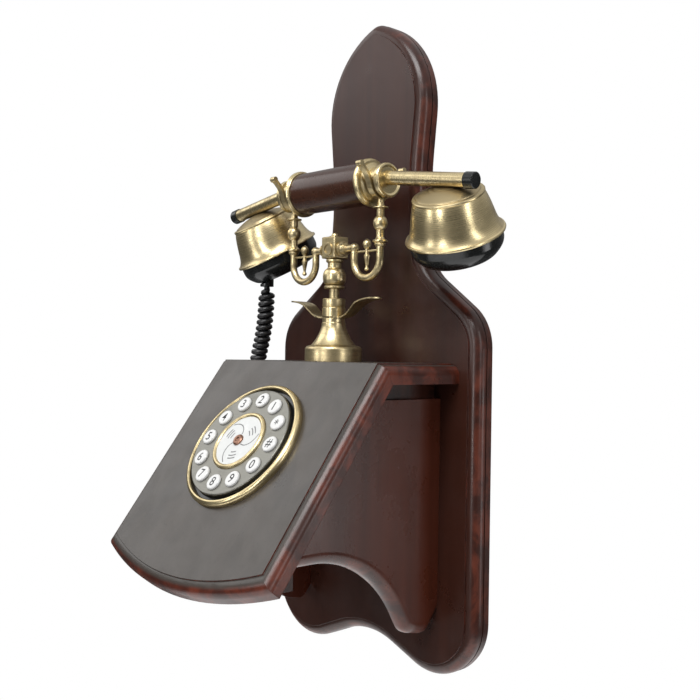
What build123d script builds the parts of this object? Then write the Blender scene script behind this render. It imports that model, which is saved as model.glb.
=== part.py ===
from build123d import *
import os
from math import cos, pi, radians, sin, tan

# Wall telephone in antique style: a shaped wall board, a sloping-front case with a round push-button
# dial, a brass cradle column and a brass handset. Millimetres. X is to the viewer's right, Y runs back
# into the wall, Z is up. The origin is on the wall face, on the centre line, level with the shelf's top.

os.makedirs("parts", exist_ok=True)

# ---------------------------------------------------------------- wall board
BOARD_T = 18.6
BOARD_HALF_W = 116.3
BOARD_CORNERS = [
    (14.2, -226, 68), (82.2, -254.5, 45.1), (BOARD_HALF_W, -216.4, 43.4), (BOARD_HALF_W, 32.2, 40.6),
    (56.5, 77.1, 38.8), (51, 143.2, 320), (62.8, 264.2, 79),
]
BOARD_APEX = (0, 286.5, 12)
BOARD_EDGE_T = 6.0
BOARD_GROOVE, BOARD_GROOVE_T = 1.2, 1.2
BOARD_ROUND = 8.0
BOARD_MOULD = 8.9
BOARD_STEP = 1.4
# ---------------------------------------------------------------- case
CASE_HALF_W = 99.3
SHELF_DEPTH = 99.8
WOOD_T = 15.6
EDGE_ROUND = 7.8
PANEL_STEP, PANEL_MOULD = 1.2, 8.6
SLOPE = 37.0
PANEL_CORNER = 177.5
PANEL_BELLY = 197.0
SIDE_OUT = 80.4
SIDE_T = 12.0
SIDE_TOP, SIDE_LOW = -27.6, -199.0
SIDE_ROUND = 9.5
RAIL_TOP, RAIL_LOW = -141.0, -154.0
SIDE_NOSE = (-150, RAIL_TOP)
SIDE_CORNERS, SIDE_RADII = [(-89.7, RAIL_TOP), (-51.2, -206.2), (-28, -210.7)], [99.2, 15.7, 10]
FLOOR_TOP, FLOOR_T = -134.0, 6.0
RAIL_Y = -167.0
RAIL_IN, RAIL_W = 58.0, 16.0
LINE_JACK_X, LINE_JACK_Y, LINE_JACK_W, LINE_JACK_D, LINE_JACK_H = 40.0, -45.0, 16.0, 14.0, 18.0
SOCKET_W, SOCKET_D, SOCKET_DEEP = 9.7, 6.6, 13.0
# ---------------------------------------------------------------- dial
DIAL_DOWN = 79.75
BEZEL_R, BEZEL_IN, BEZEL_H = 54.0, 49.6, 5.2
HOUSING_R, HOUSING_IN, HOUSING_BACK = 47.0, 44.5, -9.6
PLATE_R, PLATE_LOW, PLATE_TOP = 46.6, 3.4, 6.6
KEY_CIRCLE, KEY_R, KEY_TOP, KEY_FIT = 36.6, 6.5, 8.4, 0.08
KEY_FLANGE_R, KEY_FLANGE_LOW, KEY_FLANGE_GAP, KEY_EDGE = 7.7, 1.8, 0.1, 1.2
KEYPAD_TOP, KEYPAD_T = -4.0, 1.6
KEY_STEM_R, KEY_STEM_GAP = 2.0, 2.0
INNER_RING_R, CARD_R, CARD_T, CAP_R = 25.0, 21.4, 0.8, 4.6
# ---------------------------------------------------------------- electrics
PCB_X, PCB_Z, PCB_W, PCB_H, PCB_T, PCB_STAND = -10.0, -85.0, 80.0, 66.0, 1.6, 6.0
RINGER_Y, RINGER_Z, RINGER_R, RINGER_T = -70.0, -82.0, 21.0, 12.0
PCB_FOOT_R, PCB_FOOT_IN, CHIP_H = 3.0, 5.0, 7.0
CHIPS = ((-18, 12, 16, 14), (12, -10, 12, 20), (-14, -18, 22, 8), (20, 16, 10, 10))
SWITCH_W, SWITCH_D, SWITCH_H, SWITCH_EAR, SWITCH_GAP, SWITCH_TIP_R = 48.0, 12.0, 12.0, 6.0, 2.0, 2.0
# ---------------------------------------------------------------- cradle
COLUMN_Y = -59.0
STEM_R, STEM_FIT = 4.15, 0.05
BASE_R, BASE_H, BELL_TOP, BASE_TOP = 23.2, 12.5, 31.0, 35.0
BELL_BORE = 7.0
SPRING_LOW, SPRING_HIGH, SPRING_R, SPRING_WIRE = 8.0, 24.0, 5.6, 0.5
TRAVEL = 6.0
WING_T, WING_REACH, WING_RISE, WING_HALF_D = 1.2, 51.4, 14.5, 7.0
COLLAR_TOP, COLLAR_R = 51.0, 9.6
BLOCK_W, BLOCK_LOW, BLOCK_TOP = 15.6, 83.5, 101.0
ARM_X, ARM_IN_X, ARM_Z, PIPE_R = 51.4, 23.0, 90.8, 2.9
U_LOW = 66.3
BAR_Z, BAR_R = 87.3, 0.9
FORK_W, FORK_T, FORK_R, FORK_WRAP = 5.0, 2.4, 12.85, 70.0
FORK_KNOB_R, FORK_TIPS = 2.3, {-1: (-23.2, 10.8), 1: (23.8, 11.6)}
PLUNGER_LOW = -34.0
# ---------------------------------------------------------------- handset
GRIP_Z, ROLL = 140.4, 28.0
GRIP_R, GRIP_HALF = 17.0, 38.5
RING_R, RING_END = 19.2, 43.5
NECK_R, NECK_END, DISC_R, DISC_END = 11.5, 56.0, 13.6, 60.6
TUBE_R, TUBE_BEND, TUBE_END = 5.5, 8.8, 140.0
TUBE_START, TUBE_RISE, TUBE_BORE_R, TUBE_CAP_R, TUBE_CAP_LEN = 50.0, 3.4, 4.2, 6.2, 7.0
BOSS_R, WIRE_BORE_R, SOUND_HOLE_R = 15.5, 4.0, 1.2
CUP_X = {-1: 108.0, 1: 114.3}
CUP_RIM_R, CUP_RIM, CUP_TOP_R, CUP_TOP = 38.2, 42.3, 27.4, 11.4
DOME_TOP, SHELL_T = 4.6, 1.3
CAP_DEPTH, CAP_TOP_R, CAP_LOW_R, CAP_WALL = 19.4, 35.6, 23.5, 2.0
CAPSULE_R, CAPSULE_T = 21.0, 11.0
# ---------------------------------------------------------------- cord
CORD_R = 7.6
GLAND_X, GLAND_Y, GLAND_LOW = -103.0, -46.5, 66.0
JACK_X, JACK_Y, JACK_LOW, JACK_H, JACK_D = -91.0, -117.0, -84.0, 23.0, 16.0
PLUG_LOW, PLUG_W, PLUG_D, PLUG_BOOT_R, PLUG_BOOT_TOP = -96.0, 7.6, 5.9, 6.5, -90.0
GLAND_R, GLAND_LEN = 6.0, 30.0
# ---------------------------------------------------------------- fasteners and hangers
SCREW_R, SCREW_HEAD_R, SCREW_LEN = 1.5, 3.2, 26.0
SCREW_SEAT, SCREW_PROUD = 1.8, 0.3
BASE_SCREW_CIRCLE = 15.0
CASE_SCREWS_BACK = [(x, z) for x in (-74.4, 74.4) for z in (-50, -170)] + [(-60, -8), (60, -8)]
HANGER_Z = (190.0, -150.0)
HANGER_W, HANGER_LEN, HANGER_SEAT, HANGER_CAVITY, HANGER_DEPTH = 18.0, 44.0, 3.3, 27.0, 11.0
HANGER_SCREW_PITCH, HANGER_SCREW_R, HANGER_SCREW_HEAD_R, HANGER_SCREW_LEN = 17.5, 1.3, 2.8, 12.0
HANGER_SCREW_Z = [z + step for z in HANGER_Z for step in (-HANGER_SCREW_PITCH, HANGER_SCREW_PITCH)]
KEYHOLE_R, KEYHOLE_SLOT_R, KEYHOLE_RISE = 5.0, 2.4, 10.0

S, C = sin(radians(SLOPE)), cos(radians(SLOPE))
PANEL = Plane(origin=(0, -SHELF_DEPTH, 0), x_dir=(1, 0, 0), z_dir=(0, -C, S))
DIAL = Plane(PANEL.from_local_coords((0, -DIAL_DOWN, 0)), x_dir=(1, 0, 0), z_dir=(0, -C, S))
DIAL_SECTION = Plane(DIAL.origin, x_dir=(1, 0, 0), z_dir=-DIAL.y_dir)
DIAL_AXIS = Axis(DIAL.origin, DIAL.z_dir)
MITRE_BACK = WOOD_T * (1 - S) / C
HANDSET = Plane(
    origin=(0, COLUMN_Y, GRIP_Z), x_dir=(1, 0, 0), z_dir=(0, cos(radians(ROLL)), sin(radians(ROLL)))
)
HANDSET_AXIS = Axis(HANDSET.origin, HANDSET.x_dir)
COLUMN = Plane(origin=(0, COLUMN_Y, 0), x_dir=(1, 0, 0), z_dir=(0, -1, 0))
COLUMN_AXIS = Axis((0, COLUMN_Y, 0), (0, 0, 1))
SIDES = {"left": -1, "right": 1}


def export(builder, name):
    """Label a finished piece and write its STEP file."""
    builder.part.label = name
    export_step(builder.part, f"parts/{name}.step")


def panel_back_y(z):
    """Y of the front panel's inner face at height z."""
    return -SHELF_DEPTH + MITRE_BACK + (z + WOOD_T) * S / C


# ================================================================ wall board
def board_sketch(inset):
    """The wall board's outline, drawn in on every side by inset."""
    corners = BOARD_CORNERS + [BOARD_APEX] + [(-x, z, radius) for x, z, radius in reversed(BOARD_CORNERS)]
    with BuildSketch() as outline:
        with BuildLine():
            FilletPolyline(
                *[(x, z) for x, z, _ in corners], radius=[radius for *_, radius in corners], close=True
            )
        make_face()
        if inset:
            offset(amount=-inset, mode=Mode.REPLACE)
    return outline.sketch


def back_screw_shanks():
    """The shanks of the screws that hold the case to the board."""
    with BuildPart() as shanks:
        with BuildSketch(Plane.XZ.offset(SCREW_SEAT)):
            with Locations(*CASE_SCREWS_BACK):
                Circle(SCREW_R)
        extrude(amount=SCREW_LEN)
    return shanks.part


def base_screw_shanks():
    """The shanks of the screws that come up through the shelf into the cradle's base."""
    with BuildPart() as shanks:
        with BuildSketch(Plane(origin=(0, COLUMN_Y, -WOOD_T))):
            with PolarLocations(BASE_SCREW_CIRCLE, 3, start_angle=90):
                Circle(SCREW_R)
        extrude(amount=SCREW_LEN)
    return shanks.part


with BuildPart() as backboard:
    with BuildSketch(Plane.XZ):
        add(board_sketch(0))
    extrude(amount=BOARD_T - BOARD_STEP)
    fillet(backboard.faces().sort_by(Axis.Y)[0].edges(), radius=BOARD_ROUND)
    with BuildSketch(Plane.XZ.offset(BOARD_T - BOARD_STEP)):
        add(board_sketch(BOARD_MOULD))
    extrude(amount=BOARD_STEP)
    with BuildSketch(Plane.XZ.offset(BOARD_EDGE_T)):
        add(board_sketch(-1))
        add(board_sketch(BOARD_GROOVE), mode=Mode.SUBTRACT)
    extrude(amount=BOARD_GROOVE_T, mode=Mode.SUBTRACT)
    with BuildSketch(Plane.XZ):
        with Locations(*[(0, z) for z in HANGER_Z]):
            RectangleRounded(HANGER_W + 1, HANGER_LEN + 1, HANGER_W / 4)
    extrude(amount=HANGER_SEAT, mode=Mode.SUBTRACT)
    with BuildSketch(Plane.XZ):
        with Locations(*[(0, z) for z in HANGER_Z]):
            Rectangle(2 * KEYHOLE_R + 4, HANGER_CAVITY)
    extrude(amount=HANGER_DEPTH, mode=Mode.SUBTRACT)
    with BuildSketch(Plane.XZ):
        with Locations(*[(0, z) for z in HANGER_SCREW_Z]):
            Circle(HANGER_SCREW_R)
    extrude(amount=HANGER_SCREW_LEN + SCREW_SEAT, mode=Mode.SUBTRACT)
    with BuildSketch(Plane.XZ):
        with Locations(*CASE_SCREWS_BACK):
            Circle(SCREW_HEAD_R)
    extrude(amount=SCREW_SEAT, mode=Mode.SUBTRACT)
    add(back_screw_shanks(), mode=Mode.SUBTRACT)
export(backboard, "backboard")

# Two keyhole plates let into the back of the board: the wall screws' heads go in at the round end.
with BuildPart() as hanger_plates:
    for z in HANGER_Z:
        with BuildSketch(Plane.XZ.offset(SCREW_SEAT)):
            with Locations((0, z)):
                RectangleRounded(HANGER_W, HANGER_LEN, HANGER_W / 4)
                Circle(KEYHOLE_R, mode=Mode.SUBTRACT)
            with Locations((0, z + KEYHOLE_RISE / 2)):
                SlotOverall(
                    KEYHOLE_RISE + 2 * KEYHOLE_SLOT_R, 2 * KEYHOLE_SLOT_R, rotation=90, mode=Mode.SUBTRACT
                )
            with Locations((0, z - HANGER_SCREW_PITCH), (0, z + HANGER_SCREW_PITCH)):
                Circle(HANGER_SCREW_R, mode=Mode.SUBTRACT)
    extrude(amount=HANGER_SEAT - SCREW_SEAT)
export(hanger_plates, "hanger_plates")

# The plates' screws; they are written with the other screws, further down.
with BuildPart() as hanger_screws:
    for z in HANGER_SCREW_Z:
        with BuildSketch(Plane.XZ.offset(SCREW_PROUD)):
            with Locations((0, z)):
                Circle(HANGER_SCREW_HEAD_R)
        extrude(amount=SCREW_SEAT - SCREW_PROUD)
        with BuildSketch(Plane.XZ.offset(SCREW_SEAT)):
            with Locations((0, z)):
                Circle(HANGER_SCREW_R)
        extrude(amount=HANGER_SCREW_LEN)

# ================================================================ case
MITRE_STEP = MITRE_BACK * PANEL_STEP / WOOD_T
side_profile = [
    (-BOARD_T, -PANEL_STEP), (-SHELF_DEPTH + MITRE_STEP, -PANEL_STEP), (-SHELF_DEPTH + MITRE_BACK, -WOOD_T),
    (-BOARD_T, -WOOD_T),
]
field_profile = [
    (-BOARD_T, 0), (-SHELF_DEPTH, 0), (-SHELF_DEPTH + MITRE_STEP, -PANEL_STEP), (-BOARD_T, -PANEL_STEP),
]

with BuildPart() as shelf:
    with BuildSketch(Plane.YZ.offset(-CASE_HALF_W)):
        with BuildLine():
            Polyline(*side_profile, close=True)
        make_face()
    extrude(amount=2 * CASE_HALF_W)
    top_edges = shelf.edges().filter_by(Axis.Y).group_by(Axis.Z)[-1]
    fillet(top_edges, radius=EDGE_ROUND)
    with BuildSketch(Plane.YZ.offset(PANEL_MOULD - CASE_HALF_W)):
        with BuildLine():
            Polyline(*field_profile, close=True)
        make_face()
    extrude(amount=2 * (CASE_HALF_W - PANEL_MOULD))
    with Locations((0, COLUMN_Y, 0)):
        Cylinder(STEM_R + STEM_FIT + 1, 4 * WOOD_T, mode=Mode.SUBTRACT)
    add(base_screw_shanks(), mode=Mode.SUBTRACT)
    add(back_screw_shanks(), mode=Mode.SUBTRACT)
export(shelf, "shelf")


def panel_sketch(half_w, corner, belly):
    """The front panel's outline: straight sides, and a lower edge bowed from the corners to the belly."""
    with BuildSketch(PANEL.offset(-PANEL_STEP)) as outline:
        with BuildLine():
            Polyline((-half_w, -corner), (-half_w, 0), (half_w, 0), (half_w, -corner))
            ThreePointArc((half_w, -corner), (0, -belly), (-half_w, -corner))
        make_face()
    return outline.sketch


with BuildPart() as front_panel:
    extrude(panel_sketch(CASE_HALF_W, PANEL_CORNER, PANEL_BELLY), amount=PANEL_STEP - WOOD_T)
    outer_face = front_panel.faces().filter_by(lambda f: f.normal_at().dot(PANEL.z_dir) > 0.99)[0]
    fillet(outer_face.edges().sort_by(Axis.Z)[:-1], radius=EDGE_ROUND)
    field = panel_sketch(CASE_HALF_W - PANEL_MOULD, PANEL_CORNER - PANEL_MOULD + 1, PANEL_BELLY - PANEL_MOULD)
    extrude(field, amount=PANEL_STEP)
    split(bisect_by=Plane(origin=(0, -SHELF_DEPTH, 0), z_dir=(0, -WOOD_T, -MITRE_BACK)), keep=Keep.TOP)
    with Locations(DIAL):
        Cylinder(HOUSING_R + 0.2, 4 * WOOD_T, mode=Mode.SUBTRACT)
export(front_panel, "front_panel")


def side_board(side):
    """A side of the case, its bottom edge cut to an S and rounded over on the outside."""
    inner, outer = side * (SIDE_OUT - SIDE_T), side * SIDE_OUT
    with BuildPart() as board:
        with BuildSketch(Plane.YZ.offset(inner)):
            with BuildLine():
                Polyline(
                    (-BOARD_T, SIDE_LOW), (-BOARD_T, SIDE_TOP), (panel_back_y(SIDE_TOP), SIDE_TOP),
                    (panel_back_y(RAIL_TOP), RAIL_TOP), SIDE_NOSE,
                )
                FilletPolyline(SIDE_NOSE, *SIDE_CORNERS, (-BOARD_T, SIDE_LOW), radius=SIDE_RADII)
            make_face()
        extrude(amount=outer - inner)
        low = board.faces().filter_by(lambda f: abs(f.center().X - outer) < 0.01)[0]
        fillet([e for e in low.edges() if e.center().Z < RAIL_TOP - 0.5], radius=SIDE_ROUND)
        add(back_screw_shanks(), mode=Mode.SUBTRACT)
    return board


for name, side in SIDES.items():
    export(side_board(side), f"side_board_{name}")

# Rails that close the gap between the shelf and the sides, set in from the sides' outer faces.
with BuildPart() as shelf_rails:
    for side in SIDES.values():
        with BuildSketch(Plane.YZ.offset(side * RAIL_IN)):
            with BuildLine():
                Polyline(
                    (-BOARD_T, -WOOD_T), (panel_back_y(-WOOD_T), -WOOD_T),
                    (panel_back_y(-WOOD_T), SIDE_TOP), (-BOARD_T, SIDE_TOP), close=True,
                )
            make_face()
        extrude(amount=side * RAIL_W)
export(shelf_rails, "shelf_rails")

# The rail across the bottom, behind the front panel's lower edge.
with BuildPart() as bottom_rail:
    with BuildSketch(Plane.YZ.offset(-SIDE_OUT)):
        with BuildLine():
            Polyline(
                (RAIL_Y, RAIL_TOP), (panel_back_y(RAIL_TOP), RAIL_TOP), (panel_back_y(RAIL_LOW), RAIL_LOW),
                (RAIL_Y, RAIL_LOW), close=True,
            )
        make_face()
    extrude(amount=2 * SIDE_OUT)
export(bottom_rail, "bottom_rail")

FLOOR_HALF_W = SIDE_OUT - SIDE_T
with BuildPart() as bottom_board:
    with BuildSketch(Plane.XY.offset(FLOOR_TOP - FLOOR_T)):
        with Locations((0, (RAIL_Y - BOARD_T) / 2)):
            Rectangle(2 * FLOOR_HALF_W, -RAIL_Y - BOARD_T)
        with Locations((LINE_JACK_X, LINE_JACK_Y)):
            Rectangle(LINE_JACK_W, LINE_JACK_D, mode=Mode.SUBTRACT)
    extrude(amount=FLOOR_T)
export(bottom_board, "bottom_board")

# Every screw: through the board into the case, up into the cradle's base, and in the hanger plates.
with BuildPart() as case_screws:
    add(hanger_screws)
    add(back_screw_shanks())
    add(base_screw_shanks())
    with BuildSketch(Plane.XZ.offset(SCREW_PROUD)):
        with Locations(*CASE_SCREWS_BACK):
            Circle(SCREW_HEAD_R)
    extrude(amount=SCREW_SEAT - SCREW_PROUD)
    with BuildSketch(Plane(origin=(0, COLUMN_Y, -WOOD_T))):
        with PolarLocations(BASE_SCREW_CIRCLE, 3, start_angle=90):
            Circle(SCREW_HEAD_R)
    extrude(amount=SCREW_PROUD - SCREW_SEAT)
export(case_screws, "case_screws")

# ================================================================ dial
with BuildPart() as dial_bezel:
    with BuildSketch(DIAL_SECTION):
        with BuildLine():
            Polyline((BEZEL_IN, BEZEL_H - 1), (BEZEL_IN, 0), (BEZEL_R, 0), (BEZEL_R, 1.6))
            Spline((BEZEL_R, 1.6), (BEZEL_R - 0.9, BEZEL_H - 1), (BEZEL_R - 2.6, BEZEL_H))
            Polyline((BEZEL_R - 2.6, BEZEL_H), (BEZEL_IN + 0.8, BEZEL_H), (BEZEL_IN, BEZEL_H - 1))
        make_face()
    revolve(axis=DIAL_AXIS)
export(dial_bezel, "dial_bezel")

# Black moulding behind the plate: a shallow cup through the panel, its flange under the bezel.
with BuildPart() as dial_housing:
    with BuildSketch(DIAL_SECTION):
        with BuildLine():
            Polyline(
                (0, HOUSING_BACK), (HOUSING_R, HOUSING_BACK), (HOUSING_R, 0), (BEZEL_IN, 0),
                (BEZEL_IN, 1.6), (HOUSING_R, 1.6), (HOUSING_R - 1, PLATE_LOW), (HOUSING_IN, PLATE_LOW),
                (HOUSING_IN, KEYPAD_TOP - KEYPAD_T), (HOUSING_IN - 4, KEYPAD_TOP - KEYPAD_T),
                (HOUSING_IN - 4, HOUSING_BACK + 2), (0, HOUSING_BACK + 2), close=True,
            )
        make_face()
    revolve(axis=DIAL_AXIS)
export(dial_housing, "dial_housing")

with BuildPart() as dial_plate:
    with BuildSketch(DIAL.offset(PLATE_LOW)):
        Circle(PLATE_R)
        with PolarLocations(KEY_CIRCLE, 12):
            Circle(KEY_R + KEY_FIT, mode=Mode.SUBTRACT)
    extrude(amount=PLATE_TOP - PLATE_LOW)
    rim = dial_plate.edges().filter_by(lambda e: abs(e.length - 2 * pi * PLATE_R) < 0.1)
    fillet(rim, radius=0.8)
export(dial_plate, "dial_plate")

with BuildPart() as keypad_board:
    with BuildSketch(DIAL.offset(KEYPAD_TOP - KEYPAD_T)):
        Circle(HOUSING_IN - 0.4)
    extrude(amount=KEYPAD_T)
export(keypad_board, "keypad_board")

# Keys in rotary order: 1 at sixty degrees, then round anticlockwise to 0, with the two signs after it.
KEY_NAMES = ["hash", "star", "1", "2", "3", "4", "5", "6", "7", "8", "9", "0"]
for number, key in enumerate(KEY_NAMES):
    turn = 30 * number
    with BuildPart() as button:
        with BuildSketch(DIAL.offset(KEY_FLANGE_LOW)):
            with PolarLocations(KEY_CIRCLE, 1, start_angle=turn):
                Circle(KEY_FLANGE_R)
        extrude(amount=PLATE_LOW - KEY_FLANGE_LOW - KEY_FLANGE_GAP)
        with BuildSketch(DIAL.offset(PLATE_LOW - KEY_FLANGE_GAP)):
            with PolarLocations(KEY_CIRCLE, 1, start_angle=turn):
                Circle(KEY_R)
        extrude(amount=KEY_TOP - PLATE_LOW + KEY_FLANGE_GAP)
        top = button.faces().filter_by(lambda f: f.normal_at().dot(DIAL.z_dir) > 0.99)
        crown = max(top, key=lambda f: f.center().dot(DIAL.z_dir))
        fillet(crown.edges(), radius=KEY_EDGE)
        with BuildSketch(DIAL.offset(KEYPAD_TOP + KEY_STEM_GAP)):
            with PolarLocations(KEY_CIRCLE, 1, start_angle=turn):
                Circle(KEY_STEM_R)
        extrude(amount=KEY_FLANGE_LOW - KEYPAD_TOP - KEY_STEM_GAP)
    export(button, f"button_{key}")

with BuildPart() as dial_card:
    with BuildSketch(DIAL.offset(PLATE_TOP)):
        Circle(CARD_R)
    extrude(amount=CARD_T)
export(dial_card, "dial_card")

with BuildPart() as dial_inner_ring:
    with BuildSketch(DIAL_SECTION):
        with BuildLine():
            Polyline((CARD_R, PLATE_TOP + CARD_T + 0.4), (CARD_R, PLATE_TOP), (INNER_RING_R, PLATE_TOP))
            ThreePointArc(
                (INNER_RING_R, PLATE_TOP), (INNER_RING_R - 1.4, PLATE_TOP + 1.9),
                (CARD_R, PLATE_TOP + CARD_T + 0.4),
            )
        make_face()
    revolve(axis=DIAL_AXIS)
export(dial_inner_ring, "dial_inner_ring")

with BuildPart() as dial_centre_cap:
    with BuildSketch(DIAL_SECTION):
        with BuildLine():
            Polyline(
                (0, PLATE_TOP + CARD_T), (CAP_R, PLATE_TOP + CARD_T), (CAP_R, PLATE_TOP + CARD_T + 1),
                (CAP_R - 1, PLATE_TOP + CARD_T + 1.8), (1.8, PLATE_TOP + CARD_T + 1.8),
                (1.4, PLATE_TOP + CARD_T + 1), (0, PLATE_TOP + CARD_T + 1), close=True,
            )
        make_face()
    revolve(axis=DIAL_AXIS)
export(dial_centre_cap, "dial_centre_cap")

# ================================================================ electrics inside the case
with BuildPart() as circuit_board:
    with BuildSketch(Plane.XZ.offset(BOARD_T + PCB_STAND)):
        with Locations((PCB_X, PCB_Z)):
            Rectangle(PCB_W, PCB_H)
    extrude(amount=PCB_T)
    with BuildSketch(Plane.XZ.offset(BOARD_T)):
        with Locations((PCB_X, PCB_Z)), GridLocations(PCB_W - 2 * PCB_FOOT_IN, PCB_H - 2 * PCB_FOOT_IN, 2, 2):
            Circle(PCB_FOOT_R)
    extrude(amount=PCB_STAND)
    with BuildSketch(Plane.XZ.offset(BOARD_T + PCB_STAND + PCB_T)):
        for x, z, w, h in CHIPS:
            with Locations((PCB_X + x, PCB_Z + z)):
                Rectangle(w, h)
    extrude(amount=CHIP_H)
export(circuit_board, "circuit_board")

with BuildPart() as ringer:
    with BuildSketch(Plane.YZ.offset(SIDE_OUT - SIDE_T)):
        with Locations((RINGER_Y, RINGER_Z)):
            Circle(RINGER_R)
    extrude(amount=-RINGER_T)
    fillet(ringer.faces().sort_by(Axis.X)[0].edges(), radius=2)
    with BuildSketch(Plane.YZ.offset(SIDE_OUT - SIDE_T - RINGER_T)):
        with Locations((RINGER_Y, RINGER_Z)):
            Circle(3)
            with PolarLocations(11, 8):
                Circle(2)
    extrude(amount=3, mode=Mode.SUBTRACT)
export(ringer, "ringer")

# Switch under the shelf, worked by the plunger on the foot of the cradle's stem.
with BuildPart() as hook_switch:
    with BuildSketch(Plane.XY.offset(PLUNGER_LOW - SWITCH_GAP)):
        with Locations((0, COLUMN_Y)):
            Rectangle(SWITCH_W, SWITCH_D)
    extrude(amount=-SWITCH_H)
    for side in SIDES.values():
        with BuildSketch(Plane.XY.offset(PLUNGER_LOW - SWITCH_GAP)):
            with Locations((side * (SWITCH_W - SWITCH_EAR) / 2, COLUMN_Y)):
                Rectangle(SWITCH_EAR, SWITCH_D)
        extrude(amount=-WOOD_T - PLUNGER_LOW + SWITCH_GAP)
    with BuildSketch(Plane.XY.offset(PLUNGER_LOW - SWITCH_GAP)):
        with Locations((0, COLUMN_Y)):
            Circle(SWITCH_TIP_R)
    extrude(amount=SWITCH_GAP)
export(hook_switch, "hook_switch")

with BuildPart() as line_jack:
    with BuildSketch(Plane.XY.offset(FLOOR_TOP - FLOOR_T)):
        with Locations((LINE_JACK_X, LINE_JACK_Y)):
            Rectangle(LINE_JACK_W, LINE_JACK_D)
    extrude(amount=LINE_JACK_H)
    with BuildSketch(Plane.XY.offset(FLOOR_TOP - FLOOR_T)):
        with Locations((LINE_JACK_X, LINE_JACK_Y)):
            Rectangle(SOCKET_W, SOCKET_D)
    extrude(amount=SOCKET_DEEP, mode=Mode.SUBTRACT)
export(line_jack, "line_jack")

# Block on the left side of the case that the handset cord plugs into from below.
JACK_W = 2 * (-SIDE_OUT - JACK_X)
with BuildPart() as handset_jack:
    with BuildSketch(Plane.XY.offset(JACK_LOW)):
        with Locations((JACK_X, JACK_Y)):
            Rectangle(JACK_W, JACK_D)
    extrude(amount=JACK_H)
    fillet(handset_jack.edges().filter_by(Axis.Z).sort_by(Axis.X)[:2], radius=2)
    with BuildSketch(Plane.XY.offset(JACK_LOW)):
        with Locations((JACK_X, JACK_Y)):
            Rectangle(SOCKET_W, SOCKET_D)
    extrude(amount=SOCKET_DEEP, mode=Mode.SUBTRACT)
export(handset_jack, "handset_jack")

with BuildPart() as cord_plug:
    with BuildSketch(Plane.XY.offset(PLUG_BOOT_TOP)):
        with Locations((JACK_X, JACK_Y)):
            Rectangle(PLUG_W, PLUG_D)
    extrude(amount=JACK_LOW - PLUG_BOOT_TOP + SOCKET_DEEP - 1)
    with BuildSketch(Plane.XY.offset(PLUG_LOW)):
        with Locations((JACK_X, JACK_Y)):
            Circle(PLUG_BOOT_R)
    extrude(amount=PLUG_BOOT_TOP - PLUG_LOW)
export(cord_plug, "cord_plug")

# ================================================================ cradle column
with BuildPart() as cradle_base:
    cavity_top = SPRING_HIGH + 1 + TRAVEL + 0.2
    with BuildSketch(COLUMN):
        with BuildLine():
            Polyline((STEM_R + STEM_FIT, BASE_TOP), (STEM_R + STEM_FIT, cavity_top),
                     (BELL_BORE, cavity_top), (BELL_BORE, SPRING_LOW), (STEM_R + STEM_FIT, SPRING_LOW),
                     (STEM_R + STEM_FIT, 0), (BASE_R, 0), (BASE_R, BASE_H - 3.5))
            ThreePointArc((BASE_R, BASE_H - 3.5), (BASE_R - 0.8, BASE_H - 1), (BASE_R - 2.6, BASE_H))
            Line((BASE_R - 2.6, BASE_H), (18.4, BASE_H + 0.6))
            Spline((18.4, BASE_H + 0.6), (15.2, 17), (12.4, 22), (10.4, 27), (9.8, BELL_TOP))
            Line((9.8, BELL_TOP), (9.3, BELL_TOP + 0.6))
            Polyline((9.3, BELL_TOP + 0.6), (9.3, BASE_TOP), (STEM_R + STEM_FIT, BASE_TOP))
        make_face()
    revolve(axis=COLUMN_AXIS)
    add(base_screw_shanks(), mode=Mode.SUBTRACT)
export(cradle_base, "cradle_base")

# Leaf-shaped strap clamped between the base and the collar, its ends swept up.
with BuildPart() as cradle_wings:
    with BuildSketch(COLUMN.offset(-WING_HALF_D)):
        with BuildLine():
            for low in (BASE_TOP, BASE_TOP + WING_T):
                Line((-11, low), (11, low))
                for side in SIDES.values():
                    Spline(
                        (side * 11, low), (side * 30, low + 10.5), (side * WING_REACH, low + WING_RISE),
                        tangents=[(side, 0.1), (side, 0.05)],
                    )
            for side in SIDES.values():
                tip = (side * WING_REACH, BASE_TOP + WING_RISE)
                Line(tip, (tip[0], tip[1] + WING_T))
        make_face()
    extrude(amount=2 * WING_HALF_D)
    with BuildSketch(Plane(origin=(0, COLUMN_Y, 0))):
        with BuildLine():
            for side in SIDES.values():
                Spline(
                    (-WING_REACH, 0), (-30, side * WING_HALF_D), (0, side * 5), (30, side * WING_HALF_D),
                    (WING_REACH, 0), tangents=[(0.3, side), (0.3, -side)],
                )
        make_face()
        Circle(COLLAR_R + 0.6)
        Circle(STEM_R + STEM_FIT, mode=Mode.SUBTRACT)
    extrude(amount=2 * BASE_TOP, mode=Mode.INTERSECT)
export(cradle_wings, "cradle_wings")

with BuildPart() as cradle_collar:
    low = BASE_TOP + WING_T
    with BuildSketch(COLUMN):
        with BuildLine():
            Polyline(
                (STEM_R + STEM_FIT, low), (COLLAR_R, low), (COLLAR_R, 43.4), (COLLAR_R - 0.7, 43.7),
                (COLLAR_R - 0.7, 44.3), (COLLAR_R - 0.3, 44.6), (COLLAR_R - 0.3, COLLAR_TOP - 0.6),
                (COLLAR_R - 0.9, COLLAR_TOP), (STEM_R + STEM_FIT, COLLAR_TOP), close=True,
            )
        make_face()
    revolve(axis=COLUMN_AXIS)
export(cradle_collar, "cradle_collar")

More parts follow.
